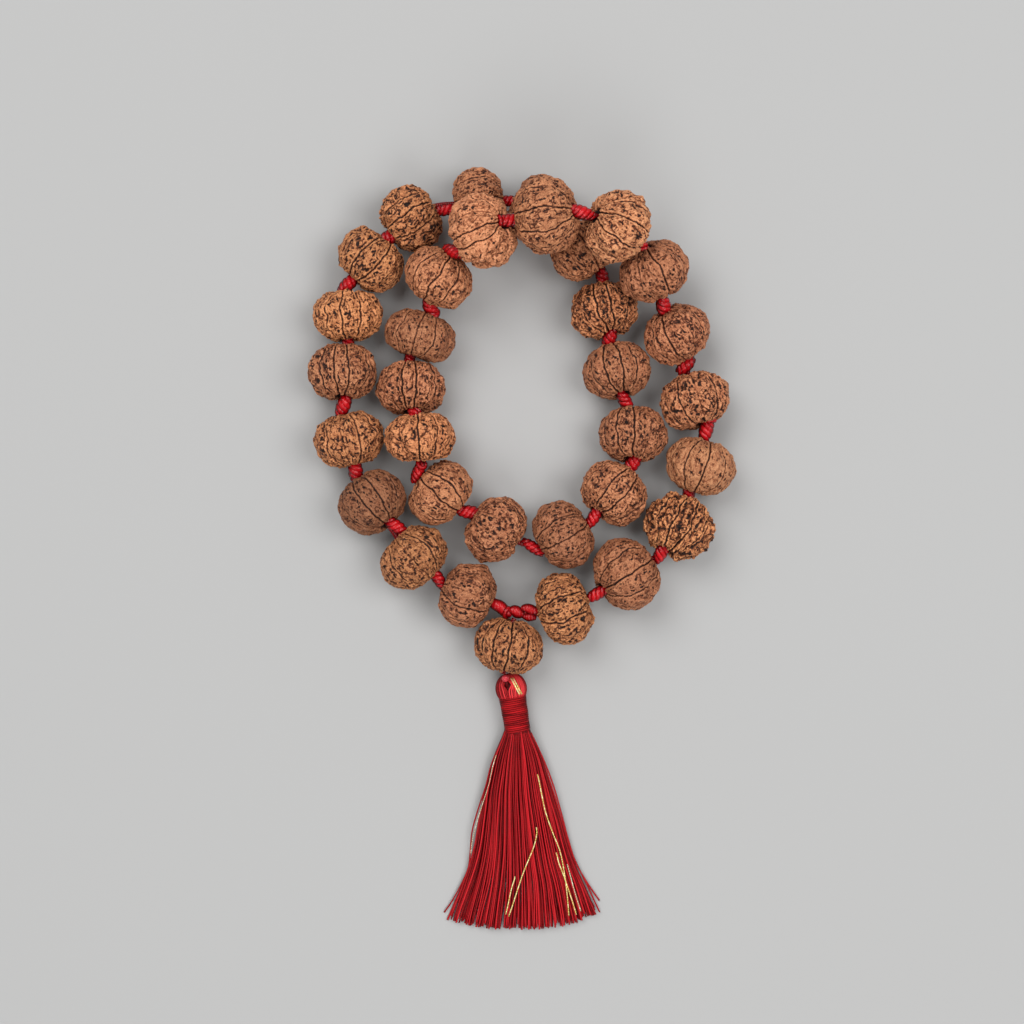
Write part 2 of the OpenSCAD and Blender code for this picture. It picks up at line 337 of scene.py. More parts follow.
def seed_material(name, base, light, dark, pit, shift, speck):
    """Rudraksha shell: mottled tan with dark specks, painted highlight on the crests, and dark pits
    and grooves deepened with painted shade.
    """
    s = Nodes(name)
    at = s.shift(s.place(), shift)
    run = s.shift(s.new("ShaderNodeAttribute", attribute_name="grain").outputs["Vector"], shift)
    hollow = s.attribute("hollow")
    painted_crest_shading = s.attribute("painted_crest_shading")
    mottle = s.ramp(s.noise(run, 0.75, 4.0, 0.62), 0.38, 0.66)
    specks = s.ramp(s.noise(run, 2.0, 3.0, 0.68), 0.60 - 0.06 * speck, 0.66)
    dots = s.new("ShaderNodeTexVoronoi")
    s.link(run, dots.inputs["Vector"])
    dots.inputs["Scale"].default_value = 0.85
    chosen = s.new("ShaderNodeSeparateColor")
    s.link(dots.outputs["Color"], chosen.inputs[0])
    pepper = s.math("LESS_THAN", chosen.outputs[0], 0.35 + 0.35 * speck)
    ragged = s.math("MULTIPLY", s.math("SUBTRACT", s.noise(run, 3.2, 2.0), 0.5), 0.5)
    reach = s.math("ADD", dots.outputs["Distance"], ragged)
    pepper = s.math("MULTIPLY", pepper, s.ramp(reach, 0.34, 0.22))
    broad = s.ramp(s.noise(at, 110, 2.0), 0.35, 0.7)
    fine = s.noise(at, 2600, 2.0, 0.6)
    colour = s.mix(s.math("MULTIPLY", broad, 0.28), base, dark)
    colour = s.mix(s.math("MULTIPLY", mottle, 0.45), colour, light)
    # Painted highlight on the raised parts of the shell.
    colour = s.mix(s.math("MULTIPLY", painted_crest_shading, 0.58), colour, light)
    colour = s.mix(s.math("MULTIPLY", specks, 0.9 * speck), colour, dark)
    colour = s.mix(s.math("MULTIPLY", s.ramp(fine, 0.50, 0.64), 0.55), colour, dark)
    # Painted glints: tiny flecks of the light colour standing in for highlights.
    glints = s.ramp(s.noise(at, 1700, 2.0, 0.6), 0.52, 0.64)
    colour = s.mix(s.math("MULTIPLY", glints, 0.45), colour, light)
    # Painted shade over the shell's own dark: pits and grooves go dark, with near-black pit colour
    # where they are deepest.
    edge = s.math("ADD", hollow, s.math("MULTIPLY", s.math("SUBTRACT", fine, 0.5), 0.3))
    edge = s.math("ADD", edge, s.math("MULTIPLY", specks, 0.22 * speck))
    colour = s.mix(s.math("MULTIPLY", pepper, 0.85), colour, s.blend(dark, pit, 0.5))
    colour = s.mix(s.ramp(edge, 0.16, 0.48), colour, dark)
    colour = s.mix(s.ramp(edge, 0.44, 0.78), colour, pit)
    s.link(colour, s.bsdf.inputs["Base Color"])
    rough = s.math("MULTIPLY_ADD", mottle, -0.12)
    rough.node.inputs[2].default_value = 0.62
    s.link(rough, s.bsdf.inputs["Roughness"])
    s.bsdf.inputs["Specular IOR Level"].default_value = 0.3
    relief = s.math("SUBTRACT", s.noise(run, 1.5, 4.0, 0.62), s.math("MULTIPLY", pepper, 0.45))
    n = s.bump(relief, 0.0007, 1.0)
    s.link(s.bump(fine, 0.00015, 0.7, n), s.bsdf.inputs["Normal"])
    return s.m


def thread_material(name, base, light, dark, plies, pitch, depth, gloss,
                    tone=0.7, ply_groove_shade=1.0, shine=0.2):
    """Twisted cord or silk: plies run round the tube by its own thread map."""
    s = Nodes(name)
    uv = s.new("ShaderNodeUVMap", uv_map="thread").outputs[0]
    split = s.new("ShaderNodeSeparateXYZ")
    s.link(uv, split.inputs[0])
    turn = s.math("MULTIPLY", split.outputs[0], float(plies))
    run = s.math("MULTIPLY", split.outputs[1], plies / pitch)
    phase = s.math("MULTIPLY", s.math("ADD", turn, run), 2 * math.pi)
    ply = s.math("ABSOLUTE", s.math("SINE", s.math("MULTIPLY", phase, 0.5)))
    at = s.place()
    fibre = s.noise(at, 2200, 3.0, 0.6)
    broad = s.noise(at, 140, 2.0)
    # Painted shade in the grooves between the plies.
    colour = s.mix(s.ramp(ply, 0.0, 0.75), s.blend(dark, base, ply_groove_shade), base)
    colour = s.mix(s.math("MULTIPLY", s.ramp(fibre, 0.45, 0.75), 0.45), colour, light)
    colour = s.mix(s.math("MULTIPLY", s.ramp(broad, 0.4, 0.75), 0.3), colour, dark)
    # The tone attribute holds random tone per thread together with painted light and shade: above
    # 0.5 it mixes in the light colour, below it the dark.
    amount = s.math("MULTIPLY", s.math("ABSOLUTE", s.math("SUBTRACT", s.attribute("tone"), 0.5)),
                    2 * tone)
    bright = s.math("GREATER_THAN", s.attribute("tone"), 0.5)
    colour = s.mix(amount, colour, s.mix(bright, dark, light))
    s.link(colour, s.bsdf.inputs["Base Color"])
    s.bsdf.inputs["Roughness"].default_value = gloss
    s.bsdf.inputs["Specular IOR Level"].default_value = shine
    n = s.bump(ply, depth, 0.8)
    s.link(s.bump(fibre, depth * 0.3, 0.5, n), s.bsdf.inputs["Normal"])
    return s.m


def gold_material(name, base, light, dark):
    """Metallic thread: a flat foil wound round a core, so it glints in short lengths."""
    s = Nodes(name)
    uv = s.new("ShaderNodeUVMap", uv_map="thread").outputs[0]
    split = s.new("ShaderNodeSeparateXYZ")
    s.link(uv, split.inputs[0])
    phase = s.math("MULTIPLY", s.math("ADD", split.outputs[0],
                                      s.math("MULTIPLY", split.outputs[1], 1.1)), 2 * math.pi)
    wrap = s.ramp(s.math("SINE", phase), -0.8, 0.6)
    colour = s.mix(wrap, dark, base)
    # Painted glints: noise patches of the near-white light colour.
    colour = s.mix(s.ramp(s.noise(s.place(), 700, 2.0), 0.45, 0.65), colour, light)
    s.link(colour, s.bsdf.inputs["Base Color"])
    s.bsdf.inputs["Metallic"].default_value = 0.4
    s.bsdf.inputs["Roughness"].default_value = 0.34
    s.link(s.bump(wrap, 0.00008, 0.6), s.bsdf.inputs["Normal"])
    return s.m


CORD_RED = thread_material("cord_red", (0.165, 0.0008, 0.0018), (0.62, 0.008, 0.013),
                           (0.014, 0.0001, 0.0003), 4, 3.2, 0.00013, gloss=0.24,
                           tone=0.92, ply_groove_shade=0.85, shine=0.3)
SILK_RED = thread_material("silk_red", (0.25, 0.0018, 0.0036), (0.62, 0.014, 0.021),
                           (0.024, 0.0003, 0.0006), 2, 1.3, 0.0001, gloss=0.42,
                           tone=0.85, ply_groove_shade=0.6, shine=0.15)
BIND_RED = thread_material("binding_red", (0.26, 0.0034, 0.0056), (0.56, 0.012, 0.016),
                           (0.020, 0.0002, 0.0004), 2, 1.0, 0.00008, gloss=0.5,
                           tone=0.9, ply_groove_shade=0.6, shine=0.12)
HEAD_RED = thread_material("head_red", (0.32, 0.005, 0.008), (0.88, 0.055, 0.06),
                           (0.04, 0.0004, 0.0008), 2, 1.3, 0.0001, gloss=0.42,
                           tone=0.9, ply_groove_shade=0.5, shine=0.15)
KNOB_RED = thread_material("knob_red", (0.66, 0.022, 0.04), (0.9, 0.16, 0.19),
                           (0.16, 0.003, 0.008), 3, 2.6, 0.0001, gloss=0.32,
                           ply_groove_shade=0.5, shine=0.4)
GOLD = gold_material("gold_thread", (0.90, 0.70, 0.20), (1.0, 0.93, 0.46), (0.46, 0.31, 0.07))
GOLD_PALE = gold_material("gold_thread_pale", (0.72, 0.62, 0.40), (0.9, 0.88, 0.7),
                          (0.4, 0.28, 0.14))


# ---------------------------------------------------------------- seeds: what each one is like

# width, length, faces, groove phase (deg), colour, pits, pit size, ridges, groove strength
SEEDS = [
    (24.5, 20, 11, 20, "russet", 0.55, 0.9, 0.6, 0.7),
    (26, 20, 10, 0, "ochre", 0.45, 0.8, 0.7, 0.9),
    (26, 20.9, 10, 14, "russet", 0.4, 0.7, 0.5, 0.9),
    (26, 20, 11, 8, "ochre", 0.7, 0.8, 0.8, 0.7),
    (26, 20.3, 12, 10, "russet", 0.75, 0.8, 0.7, 0.9),
    (26, 18.5, 11, 5, "ochre", 0.45, 0.7, 0.8, 0.8),
    (26, 19.5, 9, 18, "ochre", 0.6, 0.8, 0.8, 1.0),
    (25.5, 20, 10, 2, "ochre", 0.8, 0.9, 1.0, 0.8),
    (26, 19, 10, 6, "tan", 0.5, 0.9, 0.7, 0.6),
    (26, 19.5, 10, 12, "tan", 0.5, 0.8, 0.7, 0.6),
    (26, 19.5, 10, 3, "tan", 0.6, 0.9, 0.7, 0.6),
    (25, 19.7, 12, 15, "ochre", 0.75, 0.8, 1.1, 1.5),
    (25.5, 20.2, 12, 8, "russet", 0.5, 0.7, 0.6, 1.4),
    (25.5, 20, 11, 0, "russet", 0.7, 1.0, 0.7, 1.0),
    (25.5, 20.9, 10, 16, "tan", 0.4, 0.7, 0.8, 1.0),
    (26, 20, 9, 9, "russet", 0.6, 0.8, 0.6, 0.6),
    (26, 20, 10, 13, "tan", 0.6, 0.8, 0.7, 0.7),
    (26, 19, 10, 11, "tan", 0.4, 0.7, 0.6, 1.0),
    (26, 17.4, 10, 4, "ochre", 0.6, 1.1, 0.7, 0.9),
    (25.5, 18.9, 11, 17, "tan", 0.5, 0.8, 0.8, 1.3),
    (26.5, 16.9, 10, 7, "russet", 0.4, 0.8, 0.5, 0.6),
    (26, 19.5, 10, 3, "tan", 0.45, 0.7, 0.6, 0.9),
    (28, 20.8, 12, 6, "pale", 0.2, 0.6, 0.7, 1.0),
    (28, 21.6, 10, 9, "tan", 0.4, 0.8, 0.7, 0.8),
    (27, 21, 9, 12, "pale", 0.3, 0.8, 0.9, 1.2),
    (26, 20, 9, 8, "tan", 0.4, 0.7, 0.6, 1.0),
    (25.5, 20, 10, 15, "tan", 0.45, 0.8, 0.7, 1.0),
    (26, 20, 10, 5, "tan", 0.7, 1.1, 0.8, 1.0),
    (26, 20, 10, 2, "pale", 0.25, 0.8, 0.5, 1.1),
    (26.5, 22.8, 12, 11, "ochre", 0.95, 1.0, 1.3, 1.6),
    (27.5, 22.4, 10, 4, "tan", 0.35, 0.9, 0.6, 1.1),
    (27, 19.5, 10, 16, "ochre", 0.55, 1.0, 0.8, 0.9),
]
GURU = (26, 20, 12, 7, "ochre", 0.6, 1.1, 0.7, 1.2)
# Base, light, dark and pit colour for each kind of shell. The near-black pit colour is painted
# shade for the deepest hollows, and the light colour also carries the painted highlight on raised
# parts.
COLOURS = {
    "tan": ((0.42, 0.145, 0.064), (0.78, 0.335, 0.158),
            (0.15, 0.038, 0.014), (0.013, 0.004, 0.002)),
    "ochre": ((0.46, 0.160, 0.062), (0.84, 0.360, 0.150),
              (0.15, 0.040, 0.013), (0.012, 0.004, 0.002)),
    "pale": ((0.58, 0.220, 0.096), (0.88, 0.410, 0.200),
             (0.27, 0.080, 0.031), (0.020, 0.007, 0.004)),
    "russet": ((0.36, 0.120, 0.052), (0.66, 0.280, 0.135),
               (0.12, 0.030, 0.011), (0.012, 0.004, 0.002)),
}
# How far the faces bulge between the seams, and how much longer than wide the pits run.
GRAIN = {
    "bead_23": (2.6, 1.8), "bead_25": (1.6, 1.5), "bead_30": (1.4, 2.6), "bead_01": (1.3, 1.5),
    "bead_09": (1.3, 1.5), "bead_13": (1.5, 1.6), "bead_29": (1.2, 1.8), "bead_31": (1.4, 1.5),
    "guru_bead": (1.3, 1.7), "bead_07": (1.4, 1.6), "bead_19": (1.3, 1.2), "bead_12": (0.8, 1.5),
}
# Ribs that run from pole to pole: how far apart, and how dark.
RIBS = {
    "bead_23": (1.7, 0.4), "bead_25": (1.8, 0.35), "bead_29": (1.2, 0.28),
    "bead_30": (2.6, 0.85), "bead_09": (1.5, 0.25), "bead_12": (2.2, 0.4),
    "bead_13": (2.4, 0.25), "bead_20": (2.4, 0.25), "guru_bead": (2.6, 0.3),
}
# How light each shell is against the usual one of its colour.
SHADE = {
    "bead_03": 0.68, "bead_29": 0.8, "bead_02": 0.85, "bead_31": 0.85, "bead_16": 0.9,
    "bead_21": 0.9,
    "bead_10": 0.92, "bead_17": 0.92, "bead_26": 0.92, "guru_bead": 0.9, "bead_06": 1.2,
    "bead_11": 1.2,
    "bead_19": 1.2, "bead_05": 1.1, "bead_22": 1.1, "bead_23": 1.1, "bead_28": 1.1, "bead_30": 1.25,
    "bead_08": 1.05, "bead_12": 1.05, "bead_14": 1.05, "bead_20": 1.05, "bead_25": 1.05,
}
BORE_R = 1.4
MOUTH_R = 3.9
MOUTH_DEPTH = 3.0


def seed_axes(joint):
    n = unit(joint["axis"])
    across = unit(np.cross(n, (0, 0, 1.0)))
    return across, np.cross(across, n), n


def groove_lines(count, phase, seed):
    rng = np.random.default_rng(seed)
    base = np.arange(count) * 2 * math.pi / count
    return base + math.radians(90 + phase) + rng.uniform(-0.09, 0.09, count), rng


def make_seed(name, spec, joint, seed):
    width, length, faces, phase, colour, pits, pit_size, ridges, strength = spec
    lobes, long_grain = GRAIN.get(name, (1.0, 1.35))
    disc, ball = (width - length) / 2, length / 2
    around, across_rows = 264, 124
    lip = max(MOUTH_R - disc, 0.05)
    top = math.acos(min(lip / ball, 1.0))
    lat = np.linspace(-top, top, across_rows)
    outer = np.c_[disc + ball * np.cos(lat), ball * np.sin(lat)]
    outer_normal = np.c_[np.cos(lat), np.sin(lat)]
    t = np.linspace(0, 1, 11)[1:]
    z_lip = outer[-1, 1]
    funnel = np.c_[MOUTH_R + (BORE_R - MOUTH_R) * t, z_lip - MOUTH_DEPTH * t ** 1.35]
    fn = np.c_[(1 - t) * 0.3 + t * -0.6, 1 - 0.3 * t]
    fn /= np.linalg.norm(fn, axis=1)[:, None]
    bore_end = funnel[-1, 1]
    bore = np.c_[np.full(4, BORE_R), np.linspace(bore_end, -bore_end, 6)[1:-1]]
    bn = np.c_[np.full(4, -1.0), np.zeros(4)]
    low = funnel[::-1] * (1, -1)
    ln = fn[::-1] * (1, -1)
    profile = np.vstack([outer, funnel, bore, low])
    normals = np.vstack([outer_normal, fn, bn, ln])
    rows = len(profile)
    shown = np.concatenate([np.ones(len(outer)), 1 - 0.8 * t, np.zeros(4), (1 - 0.8 * t)[::-1]])
    deep = np.concatenate([np.zeros(len(outer)), t, np.ones(4), t[::-1]])
    s = np.concatenate([ball * lat, ball * top + 3 * t, np.full(4, ball * top + 4),
                        -(ball * top + 3 * t)[::-1]])
    th = np.arange(around) * 2 * math.pi / around
    R = np.repeat(profile[:, 0], around)
    Z = np.repeat(profile[:, 1], around)
    NR = np.repeat(normals[:, 0], around)
    NZ = np.repeat(normals[:, 1], around)
    S = np.repeat(s, around)
    SHOW = np.repeat(shown, around)
    DEEP = np.repeat(deep, around)
    TH = np.tile(th, rows)
    pole = np.clip(np.abs(S) / (ball * top), 0, 1)

    # The grain runs from pole to pole and closes up towards the poles.
    spread = (width / 2) * (np.clip(R, 1, None) / (width / 2)) ** 0.6
    q = np.c_[np.cos(TH) * spread, np.sin(TH) * spread, S * 0.62]
    iso = np.c_[np.cos(TH) * R, np.sin(TH) * R, Z]
    warp = np.c_[noise(iso / 2.6, seed + 1), noise(iso / 2.6, seed + 2), noise(iso / 2.6, seed + 3)]

    lines, rng = groove_lines(faces, phase, seed)
    gap = np.full(len(TH), 99.0)
    cut = np.zeros(len(TH))
    rim = np.zeros(len(TH))
    flat = np.zeros(rows)
    for k, line in enumerate(lines):
        wander = (0.085 * noise(np.c_[s / 6.5, flat + k * 7.3, flat], seed + 5)
                  + 0.02 * noise(np.c_[s / 1.9, flat + k * 3.1, flat], seed + 6))
        d = np.abs((TH - line - np.repeat(wander, around) + math.pi) % (2 * math.pi) - math.pi) * R
        strong = rng.uniform() < max(strength - 0.15, 0.72)
        power = np.clip((0.95 if strong else 0.42) + (0.25 if strong else 0.4)
                        * noise(np.c_[s / 4.0, flat + k * 5.7, flat + 1], seed + 8), 0.08, 1.05)
        power = np.repeat(power, around)
        cut = np.maximum(cut, power * np.exp(-(d / 0.24) ** 2))
        rim = np.maximum(rim, power * np.exp(-((d - 0.72) / 0.34) ** 2))
        gap = np.minimum(gap, d)
    cut *= min(strength, 1.25)

    ragged = noise(iso / 0.7, seed + 71)
    f1, f2, who = cells(q / 2.0 + warp * 0.5, seed + 20)
    size = (0.15 + 0.17 * hashed(np.floor(who * 9e5), who * 0, who * 0, 3)) * pit_size
    open_pit = (who < pits * 0.8) * smoothstep(size + 0.09, size - 0.05, f1 + 0.22 * ragged)
    g1, g2, who2 = cells(q / 1.3 + warp * 0.5, seed + 40)
    small_pit = (who2 < 0.22 + pits * 0.5) * smoothstep(0.38, 0.26, g1 + 0.16 * ragged)
    border = smoothstep(0.22, 0.03, g2 - g1)
    dome = 0.5 - g1
    slit = lines_of(q / (1.8, 1.8, 1.8 * long_grain) + warp * 0.7, seed + 50, 4.0)
    slit *= smoothstep(-0.15, 0.12, noise(iso / 2.1, seed + 51))
    nick = lines_of(iso / 1.25 + warp * 0.5, seed + 55, 3.4)
    nick *= smoothstep(-0.02, 0.22, noise(iso / 1.5, seed + 56))
    coarse = noise(q / 2.7 + warp * 0.6, seed + 60)
    fine = noise(iso / 0.9, seed + 70)
    lump = noise(iso / 4.0, seed + 75)
    swell = noise(iso / 8.0, seed + 80)
    ribs = lines_of(q / (1.35, 1.35, 5.0), seed + 90, 3.0) * smoothstep(0.45, 0.9, pole)
    rib_gap, rib_dark = RIBS.get(name, (1.5, 0.0))
    long_ribs = lines_of(q / (rib_gap, rib_gap, rib_gap * 5), seed + 91, 3.6)
    long_ribs *= smoothstep(-0.3, 0.05, noise(iso / 2.6, seed + 92))
    rough = ridges * 1.25
    clear = 1 - 0.75 * np.clip(rim, 0, 1)

    face = 1 - np.exp(-(gap / 2.1) ** 2)
    height = 0.06 + 0.50 * lobes * (face - 0.72) + 0.42 * swell + 0.75 * rough * lump
    height += rough * (0.62 * coarse + 0.12 * fine + 0.40 * (dome - 0.1) - 0.10 * border)
    height -= rough * (0.34 * slit + 0.22 * nick) * clear
    height -= 0.24 * ridges * ribs + 0.5 * rib_dark * long_ribs
    height -= (0.5 * pit_size * open_pit + 0.34 * small_pit) * clear
    height += 0.14 * rim - 0.6 * cut
    height = np.clip(height, -1.7, 1.1) * SHOW

    # Pits, slits, nicks, cell borders and ribs: partly the shell's own dark colour, partly painted
    # shade.
    hollow = np.maximum.reduce([open_pit * 0.97, small_pit * 0.9, slit * min(0.95 * rough, 1.0),
                                nick * min(0.75 * rough, 0.9), border * min(0.22 * rough, 0.35),
                                ribs * 0.4, long_ribs * rib_dark]) * clear
    # Groove seams go dark, and the bore mouth gets painted shade.
    hollow = np.maximum.reduce([hollow, np.clip(cut * 1.4, 0, 1),
                                smoothstep(0.05, 0.6, DEEP) * 0.9])
    # Painted highlight: raised knobs, lumps and groove rims get more of the light colour.
    painted_crest_shading = np.clip(0.45 + 0.7 * coarse + 0.35 * fine + 0.6 * dome + 0.4 * lump + 0.5 * rim, 0, 1)
    painted_crest_shading *= 1 - hollow

    r = np.maximum(R + NR * height, 0.9)
    z = Z + NZ * height
    ax, ay, an = seed_axes(joint)
    local = (np.cos(TH) * r)[:, None] * ax + (np.sin(TH) * r)[:, None] * ay + z[:, None] * an
    pts = np.asarray(joint["pos_m"]) + local * MM
    pts[:, 2] = np.maximum(pts[:, 2], 0.0)
    i, j = np.meshgrid(np.arange(rows), np.arange(around), indexing="ij")
    a = i * around + j
    b = i * around + (j + 1) % around
    c = ((i + 1) % rows) * around + (j + 1) % around
    d = ((i + 1) % rows) * around + j
    quads = np.stack([a, b, c, d], -1).reshape(-1, 4)
    o = mesh_object(name + "_shell", pts, quads, floats={"hollow": hollow, "painted_crest_shading": painted_crest_shading},
                    vectors={"grain": q})
    base, light, dark, pit = COLOURS[colour]
    rng = np.random.default_rng(seed + 7)
    gain = SHADE.get(name, 1.0)
    tint = [tuple(min(1.0, v * gain * w) for v, w in zip(c, (1, rng.uniform(0.96, 1.04), 1)))
            for c in (base, light, dark)]
    o.data.materials.append(seed_material(name + "_shell", *tint, pit,
                                          tuple(rng.uniform(-5, 5, 3)), speck=0.45 + 0.5 * pits))
    return o


# ---------------------------------------------------------------- cord and knots

def seed_centre(i):
    return np.array(JOINTS["bead_%02d_spin" % (i + 1)]["pos_m"]) / MM


def seed_axis(i):
    return unit(JOINTS["bead_%02d_spin" % (i + 1)]["axis"])


HOLLOW_DEPTH = 3.2
JUNCTION = np.array(JOINTS["pendant_lift"]["pos_m"]) / MM
COUNT = len(SEEDS)


def cord_in(i):
    return seed_centre(i) - (SEEDS[i][1] / 2 - HOLLOW_DEPTH + 1) * seed_axis(i)


def cord_out(i):
    return seed_centre(i) + (SEEDS[i][1] / 2 - HOLLOW_DEPTH + 1) * seed_axis(i)


def hermite(p0, t0, p1, t1, n):
    u = np.linspace(0, 1, n)[:, None]
    return ((2 * u ** 3 - 3 * u ** 2 + 1) * p0 + (u ** 3 - 2 * u ** 2 + u) * t0
            + (-2 * u ** 3 + 3 * u ** 2) * p1 + (u ** 3 - u ** 2) * t1)


def cord_route():
    """Straight through each bore, then one easy curve to the next seed."""
    inset = 2.6
    out = [JUNCTION]
    first = cord_in(0) + inset * seed_axis(0)
    out += list(hermite(JUNCTION, (first - JUNCTION) * 0.9, first,
                        seed_axis(0) * np.linalg.norm(first - JUNCTION), 8)[1:])
    for i in range(COUNT):
        a = cord_out(i) - inset * seed_axis(i)
        out.append(seed_centre(i))
        out.append(a)
        if i + 1 < COUNT:
            b = cord_in(i + 1) + inset * seed_axis(i + 1)
            reach = np.linalg.norm(b - a) * 1.15
            out += list(hermite(a, seed_axis(i) * reach, b, seed_axis(i + 1) * reach, 9)[1:])
    a = cord_out(COUNT - 1) - inset * seed_axis(COUNT - 1)
    end = JUNCTION + np.array([1.2, 0.0, 0.0])
    reach = np.linalg.norm(end - a)
    out += list(hermite(a, seed_axis(COUNT - 1) * reach, end, (end - a) * 0.9, 8)[1:])
    return np.array(out)


CORD = cord_route()
parts = Parts()
parts.tube(CORD, CORD_R, 12)
string = parts.build("stringing_cord")
string.data.materials.append(CORD_RED)
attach(string, "strand")
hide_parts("string")


def rope_knot(parts, centre, axis, width, length, twist=0.0, strands=3, pitch=5.6, tone=0.20,
              hitch=None):
    """Cord twisted back on itself into a short fat barrel that thins towards both ends."""
    axis = unit(axis)
    side = unit(np.cross(axis, (0, 0, 1.0)))
    top = np.cross(side, axis)
    u = np.linspace(0, 1, 44)
    full = np.sin(math.pi * (0.08 + 0.84 * u)) ** 0.55
    spread, thick = (0.46, 0.54) if strands > 1 else (0.08, 0.96)
    for k in range(strands):
        a = 2 * math.pi * (length / pitch * u + k / strands) + twist
        r = width / 2 * spread * full
        path = (centre + axis * ((u - 0.5) * length)[:, None] + side * (r * np.cos(a))[:, None]
                + top * (r * np.sin(a))[:, None])
        # Painted light and shade: strands across the top and bottom of the barrel are lighter than
        # those on its sides, and the thin ends go dark; the last term is random tone per strand.
        tones = np.clip(tone + 0.24 * (np.abs(np.sin(a)) if strands > 1 else 1) - 0.7 * (1 - full)
                        + 0.08 * math.sin(k * 2.3 + twist), 0.05, 0.95)
        parts.tube(path, width / 2 * thick * full, 16, tone=tones, painted_crest_shading=1.15)
    # A dark core fills the gaps between the strands: painted shade.
    core = centre + axis * ((u[::4] - 0.5) * length * 0.9)[:, None]
    parts.tube(core, width / 2 * 0.55 * full[::4], 12, tone=0.05)
    if hitch is not None:
        a = np.linspace(0, 2 * math.pi, 25)
        r = width / 2 * 0.66
        turn = (centre + axis * ((hitch - 0.5) * length) + axis * (0.7 * np.sin(a + twist))[:, None]
                + side * (r * np.cos(a))[:, None] + top * (r * np.sin(a))[:, None])
        parts.tube(turn, width * 0.19, 12, tone=0.35, painted_crest_shading=0.9)


# width, length, which way it lies on the table (deg), how far right and up of the bores' line
KNOTS = [
    (4.8, 9.5, -60, 0.0, 0.8), (5.2, 10.5, -38, 1.6, 1.6), (5.8, 8.5, -85, -0.3, 0.6),
    (5.6, 9.0, 66, 0.0, 0.0), (5.0, 7.0, 90, 1.0, 0.0), (5.4, 9.0, 42, -1.4, 0.8),
    (6.0, 8.0, 30, 0.2, 0.0), (4.6, 10.0, 10, 0.6, -1.6), (4.4, 9.0, 0, 0.0, 0.0),
    (5.2, 9.0, 0, 0.0, 0.0), (5.2, 8.5, -85, 1.8, 0.0), (5.6, 8.5, 70, -0.7, 0.6),
    (5.2, 9.5, -60, -1.0, 0.5), (5.8, 8.5, 60, 0.8, 1.0), (5.0, 9.5, 60, 1.4, 0.5),
    (4.4, 9.5, -35, 1.3, -1.6), (5.4, 10.0, -8, 1.3, 0.0), (4.6, 9.5, 65, -2.0, -1.6),
    (5.6, 7.0, 90, 0.0, 0.9), (4.2, 7.0, 90, -1.4, 0.0), (5.6, 9.0, -65, 1.5, -0.8),
    (5.0, 10.0, -30, -1.3, -0.8), (5.2, 9.5, 8, -1.3, 0.0), (5.4, 11.5, -15, -1.4, 0.7),
    (4.6, 7.5, 0, 0.8, -1.0), (5.8, 8.5, -80, -0.4, -1.3), (5.4, 8.0, 45, -0.6, 0.5),
    (5.6, 9.5, 75, 0.6, 1.3), (4.6, 7.0, 90, -1.4, 1.4), (5.2, 9.5, 62, 1.6, 1.0),
    (5.0, 9.5, 30, 1.0, 0.4),
]
HITCHES = {17: 0.9, 20: 0.25, 22: 0.08, 27: 0.15}
for group, (first, last) in {"knots_outer_left": (0, 7), "knots_inner_right": (8, 15),
                             "knots_inner_left": (16, 23), "knots_outer_right": (24, 30)}.items():
    parts = Parts()
    for i in range(first, last + 1):
        width, length, lies, right, up = KNOTS[i]
        a, b = cord_out(i), cord_in(i + 1)
        run = np.array([math.cos(math.radians(lies)), math.sin(math.radians(lies)), 0.0])
        if i in (9, 24):
            run = unit((b - a) * (1, 1, 0))
        run *= math.copysign(1.0, run @ (b - a))
        run[2] = (b - a)[2] / np.linalg.norm(b - a)
        rope_knot(parts, (a + b) / 2 + (right, up, 0.0), run, width, length, twist=i * 1.7,
                  hitch=HITCHES.get(i))
    knots = parts.build(group + "_wound")
    knots.data.materials.append(CORD_RED)
    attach(knots, "strand")
    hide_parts(group)

parts = Parts()
reach = cord_in(0) - JUNCTION
rope_knot(parts, (-8.0, -20.4, JUNCTION[2] + reach[2] * 0.6), (-0.8, 0.58, reach[2] / 12),
          5.0, 10.5, twist=0.4, strands=1, tone=0.08, hitch=0.18)
start = parts.build("start_knot_wound")
parts = Parts()
rope_knot(parts, JUNCTION + (0.1, -0.1, 0.3), (1.0, -0.35, 0), 4.8, 5.6, twist=1.0,
          strands=1, tone=0.02)
middle = parts.build("junction_knot_wound")
parts = Parts()
reach = cord_out(COUNT - 1) - JUNCTION
for right, up, w, long in ((5.4, 0.8, 4.2, 7.0), (4.9, -2.0, 3.2, 5.4)):
    rope_knot(parts, JUNCTION + (right, up, 0.2 + reach[2] * 0.4), (1.0, -0.2, reach[2] / 12),
              w, long, twist=up, strands=1, tone=0.0)
end = parts.build("end_knot_wound")
for o, node in ((start, "start_knot"), (middle, "junction_knot"), (end, "end_knot")):
    o.data.materials.append(CORD_RED)
    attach(o, "strand")
    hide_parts(node)


# ---------------------------------------------------------------- pendant: guru cord and tie knot

TIE = np.array(JOINTS["tassel_swing"]["pos_m"]) / MM
GURU_AT = np.array(JOINTS["guru_bead_spin"]["pos_m"]) / MM
GURU_AXIS = unit(JOINTS["guru_bead_spin"]["axis"])
down = unit(GURU_AT - JUNCTION)
parts = Parts()
parts.tube(smooth_route([JUNCTION + 2.6 * down, GURU_AT - 8 * GURU_AXIS, GURU_AT - 3 * GURU_AXIS,
                         GURU_AT + 3 * GURU_AXIS, GURU_AT + 8 * GURU_AXIS,
                         TIE - 1.2 * GURU_AXIS], 6), CORD_R, 12)
guru_cord = parts.build("guru_cord_twisted")
guru_cord.data.materials.append(CORD_RED)
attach(guru_cord, "pendant")
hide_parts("guru_cord")

